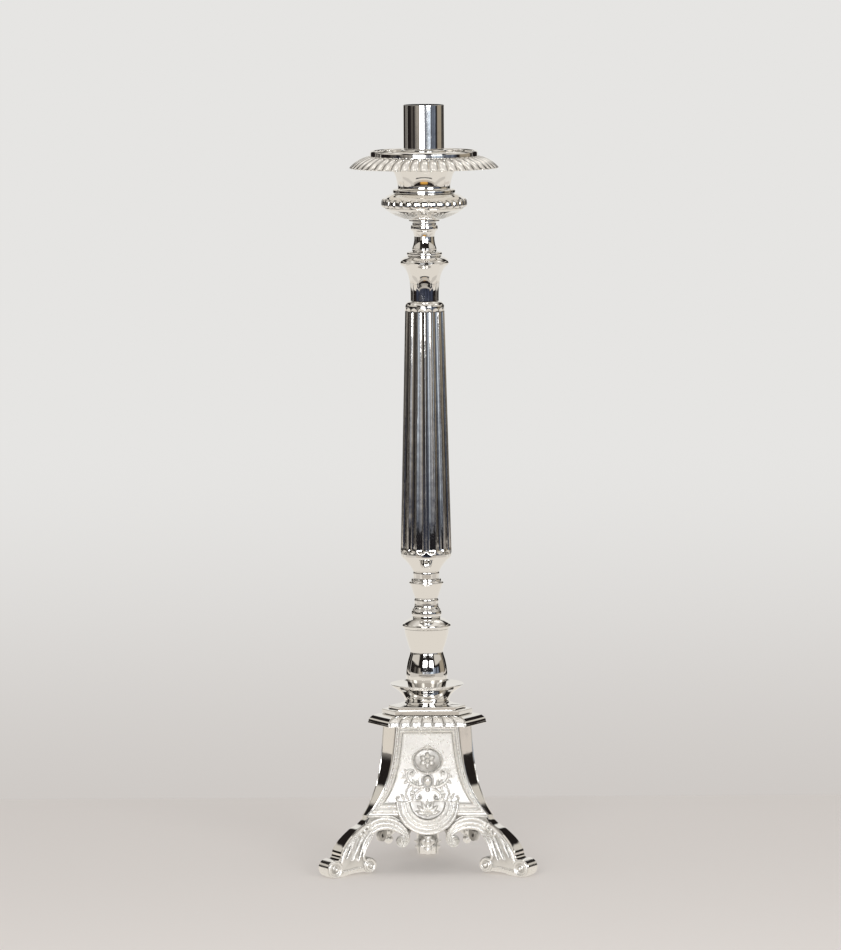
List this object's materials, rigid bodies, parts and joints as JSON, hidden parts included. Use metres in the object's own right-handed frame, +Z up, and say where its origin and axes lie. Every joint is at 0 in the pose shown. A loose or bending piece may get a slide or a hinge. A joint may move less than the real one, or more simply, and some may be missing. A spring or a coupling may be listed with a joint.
{
  "type": "altar candlestick",
  "caption": "Tall silver-plated altar candlestick: candle tube and drip pan on a knop and fluted column, over a three-sided base with scroll feet.",
  "frame": {"origin": "floor, at the centre of the object's plan box; the spindle stands 25.5 mm in front of it", "axes": "+Z up along the spindle, -Y towards the face of the base that is shown, +Y along the single back foot"},
  "size_m": [0.2142, 0.1909, 0.75],
  "materials": {
    "polished_silver": "silver plated, mirror polished",
    "cast_silver": "silver plated over a fine cast surface, bright with frosted grounds",
    "steel": "plain zinc-grey hardware"
  },
  "bodies": {
    "stand": {"baluster": "polished_silver", "baluster_disc": "polished_silver", "base_neck": "polished_silver", "capital_disc": "polished_silver", "capital_drum": "polished_silver", "capital_ring": "polished_silver", "clamp_nut": "steel", "clamp_washer": "steel", "column_cap": "polished_silver", "column_cup": "polished_silver", "corner_strip_back": "polished_silver", "corner_strip_left": "polished_silver", "corner_strip_right": "polished_silver", "cornice_corner_back": "polished_silver", "cornice_corner_left": "polished_silver", "cornice_corner_right": "polished_silver", "face_panel_front": "cast_silver", "face_panel_left": "cast_silver", "face_panel_right": "cast_silver", "fluted_column": "polished_silver", "foot_back": "cast_silver", "foot_bolt_back": "steel", "foot_bolt_left": "steel", "foot_bolt_right": "steel", "foot_left": "cast_silver", "foot_right": "cast_silver", "gadroon_strip_front": "cast_silver", "gadroon_strip_left": "cast_silver", "gadroon_strip_right": "cast_silver", "knop_bowl": "polished_silver", "knop_collar": "polished_silver", "knop_shoulder": "polished_silver", "lower_collar": "polished_silver", "lower_spool": "polished_silver", "mid_collar": "polished_silver", "neck_ring": "polished_silver", "pan_neck": "polished_silver", "panel_relief_front": "cast_silver", "panel_relief_left": "cast_silver", "panel_relief_right": "cast_silver", "pendant_front": "cast_silver", "pendant_left": "cast_silver", "pendant_right": "cast_silver", "saucer": "polished_silver", "scroll_bracket_a_front": "cast_silver", "scroll_bracket_a_left": "cast_silver", "scroll_bracket_a_right": "cast_silver", "scroll_bracket_b_front": "cast_silver", "scroll_bracket_b_left": "cast_silver", "scroll_bracket_b_right": "cast_silver", "tie_rod": "steel", "top_plate": "polished_silver", "upper_spool": "polished_silver", "vase_drum": "polished_silver"},
    "pan": {"drip_pan": "polished_silver"},
    "tube": {"candle_tube": "polished_silver", "socket_flange": "polished_silver", "socket_floor": "polished_silver"}
  },
  "joints": [
    {"name": "pan_lift", "type": "slide", "parent": "stand", "child": "pan", "axis": [0, 0, 1], "range_m": [0, 0.03]},
    {"name": "tube_lift", "type": "slide", "parent": "pan", "child": "tube", "axis": [0, 0, 1], "range_m": [0, 0.03]}
  ]
}
